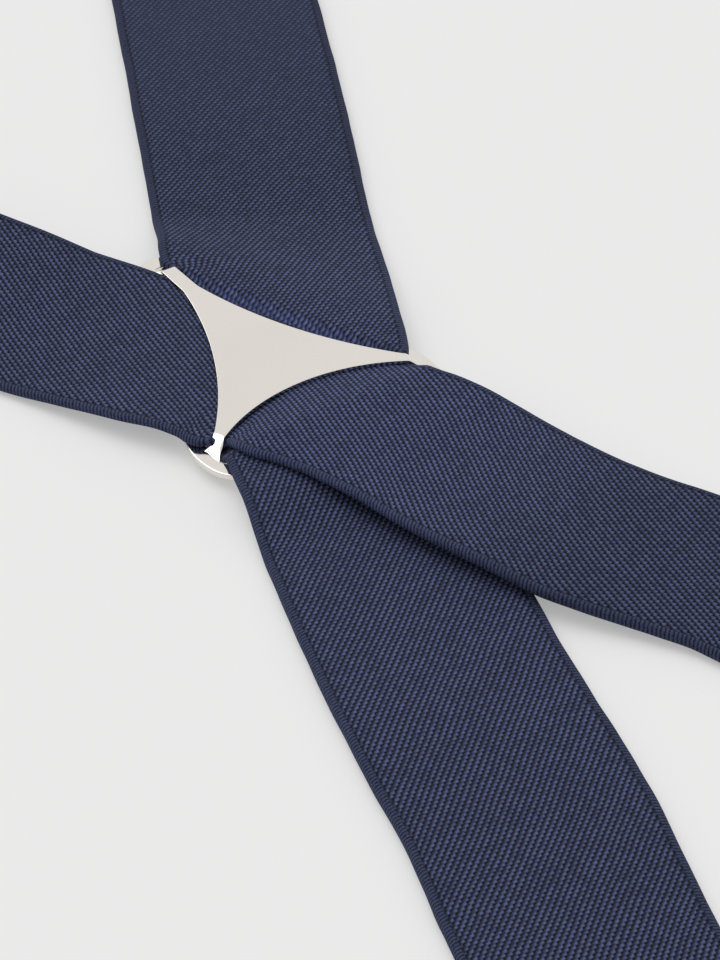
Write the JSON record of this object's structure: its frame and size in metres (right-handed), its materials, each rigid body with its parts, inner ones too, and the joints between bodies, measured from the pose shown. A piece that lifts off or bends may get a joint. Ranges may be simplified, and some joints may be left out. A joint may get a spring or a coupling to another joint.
{
  "type": "suspenders",
  "caption": "Adult X-back suspenders in wide ribbed elastic, threaded through a polished metal crossing plate, with lever adjusters and lever clips.",
  "frame": {"origin": "on the surface the suspenders lie on, below the centre of the crossing plate", "axes": "+Y towards the shoulders along the plate's symmetry axis, +X to the wearer's right, +Z away from the wearer's back"},
  "size_m": [0.2928, 1.0637, 0.0099],
  "materials": {
    "elastic_webbing": "ribbed matt weave",
    "thread": "matt thread",
    "polished_plate": "polished nickel",
    "plated_steel": "nickel plated",
    "jaw_plastic": "satin moulded"
  },
  "bodies": {
    "root": {"crossing_plate": "polished_plate", "right_strap_middle": "elastic_webbing", "left_strap_middle": "elastic_webbing"},
    "right_shoulder": {"right_shoulder_strap": "elastic_webbing", "right_front_strap": "elastic_webbing"},
    "right_front_end": {"right_front_clip_loop": "elastic_webbing", "right_front_tail": "elastic_webbing"},
    "right_adjuster": {"right_adjuster_frame": "plated_steel", "right_adjuster_pin": "plated_steel", "right_tail_hem": "elastic_webbing", "right_tail_stitches": "thread"},
    "right_adjuster_lever": {"right_adjuster_lever": "plated_steel"},
    "left_shoulder": {"left_shoulder_strap": "elastic_webbing", "left_front_strap": "elastic_webbing"},
    "left_front_end": {"left_front_clip_loop": "elastic_webbing", "left_front_tail": "elastic_webbing"},
    "left_adjuster": {"left_adjuster_frame": "plated_steel", "left_adjuster_pin": "plated_steel", "left_tail_hem": "elastic_webbing", "left_tail_stitches": "thread"},
    "left_adjuster_lever": {"left_adjuster_lever": "plated_steel"},
    "back_pair": {"left_back_strap": "elastic_webbing", "right_back_strap": "elastic_webbing", "left_back_loop": "elastic_webbing", "right_back_loop": "elastic_webbing", "left_back_stitches": "thread", "right_back_stitches": "thread"},
    "right_front_clip": {"right_front_clip_body": "plated_steel", "right_front_clip_pin": "plated_steel", "right_front_clip_pad": "jaw_plastic"},
    "right_front_clip_lever": {"right_front_clip_lever": "plated_steel", "right_front_clip_shoe": "jaw_plastic"},
    "left_front_clip": {"left_front_clip_body": "plated_steel", "left_front_clip_pin": "plated_steel", "left_front_clip_pad": "jaw_plastic"},
    "left_front_clip_lever": {"left_front_clip_lever": "plated_steel", "left_front_clip_shoe": "jaw_plastic"},
    "left_back_clip": {"left_back_clip_body": "plated_steel", "left_back_clip_pin": "plated_steel", "left_back_clip_pad": "jaw_plastic"},
    "left_back_clip_lever": {"left_back_clip_lever": "plated_steel", "left_back_clip_shoe": "jaw_plastic"},
    "right_back_clip": {"right_back_clip_body": "plated_steel", "right_back_clip_pin": "plated_steel", "right_back_clip_pad": "jaw_plastic"},
    "right_back_clip_lever": {"right_back_clip_lever": "plated_steel", "right_back_clip_shoe": "jaw_plastic"}
  },
  "joints": [
    {"name": "right_shoulder_fold", "type": "hinge", "parent": "root", "child": "right_shoulder", "pos_m": [0, 0.048, 0.0017], "axis": [1, 0, 0], "range_deg": [0, 90]},
    {"name": "right_front_length", "type": "slide", "parent": "right_shoulder", "child": "right_front_end", "axis": [0, 1, 0], "range_m": [0, 0.08], "deforming": ["right_front_strap"]},
    {"name": "right_adjuster_slide", "type": "slide", "parent": "right_front_end", "child": "right_adjuster", "axis": [0, 1, 0], "range_m": [0, 0.08], "deforming": ["right_front_tail"]},
    {"name": "right_adjuster_lever_hinge", "type": "hinge", "parent": "right_adjuster", "child": "right_adjuster_lever", "pos_m": [0.12461, 0.52467, 0.008], "axis": [1, 0, 0], "range_deg": [0, 110]},
    {"name": "left_shoulder_fold", "type": "hinge", "parent": "root", "child": "left_shoulder", "pos_m": [0, 0.048, 0.0017], "axis": [1, 0, 0], "range_deg": [0, 90]},
    {"name": "left_front_length", "type": "slide", "parent": "left_shoulder", "child": "left_front_end", "axis": [0, 1, 0], "range_m": [0, 0.08], "deforming": ["left_front_strap"]},
    {"name": "left_adjuster_slide", "type": "slide", "parent": "left_front_end", "child": "left_adjuster", "axis": [0, 1, 0], "range_m": [0, 0.08], "deforming": ["left_front_tail"]},
    {"name": "left_adjuster_lever_hinge", "type": "hinge", "parent": "left_adjuster", "child": "left_adjuster_lever", "pos_m": [-0.12461, 0.52467, 0.008], "axis": [1, 0, 0], "range_deg": [0, 110]},
    {"name": "back_fold", "type": "hinge", "parent": "root", "child": "back_pair", "pos_m": [0, -0.036, 0.0033], "axis": [-1, 0, 0], "range_deg": [0, 90]},
    {"name": "right_front_clip_swivel", "type": "hinge", "parent": "right_front_end", "child": "right_front_clip", "pos_m": [0.12461, 0.73067, 0.00295], "axis": [1, 0, 0], "range_deg": [0, 100]},
    {"name": "right_front_clip_lever_hinge", "type": "hinge", "parent": "right_front_clip", "child": "right_front_clip_lever", "pos_m": [0.12461, 0.77067, 0.0056], "axis": [-1, 0, 0], "range_deg": [0, 100]},
    {"name": "left_front_clip_swivel", "type": "hinge", "parent": "left_front_end", "child": "left_front_clip", "pos_m": [-0.12461, 0.73067, 0.00295], "axis": [1, 0, 0], "range_deg": [0, 100]},
    {"name": "left_front_clip_lever_hinge", "type": "hinge", "parent": "left_front_clip", "child": "left_front_clip_lever", "pos_m": [-0.12461, 0.77067, 0.0056], "axis": [-1, 0, 0], "range_deg": [0, 100]},
    {"name": "left_back_clip_swivel", "type": "hinge", "parent": "back_pair", "child": "left_back_clip", "pos_m": [-0.07042, -0.24149, 0.00295], "axis": [-0.9558, 0.294, 0], "range_deg": [0, 100]},
    {"name": "left_back_clip_lever_hinge", "type": "hinge", "parent": "left_back_clip", "child": "left_back_clip_lever", "pos_m": [-0.08218, -0.27973, 0.0056], "axis": [0.9558, -0.294, 0], "range_deg": [0, 100]},
    {"name": "right_back_clip_swivel", "type": "hinge", "parent": "back_pair", "child": "right_back_clip", "pos_m": [0.07042, -0.24149, 0.00295], "axis": [-0.9558, -0.294, 0], "range_deg": [0, 100]},
    {"name": "right_back_clip_lever_hinge", "type": "hinge", "parent": "right_back_clip", "child": "right_back_clip_lever", "pos_m": [0.08218, -0.27973, 0.0056], "axis": [0.9558, 0.294, 0], "range_deg": [0, 100]}
  ],
  "couplings": [
    {"joint": "right_adjuster_slide", "follows": "right_front_length", "ratio": 1},
    {"joint": "left_adjuster_slide", "follows": "left_front_length", "ratio": 1}
  ]
}
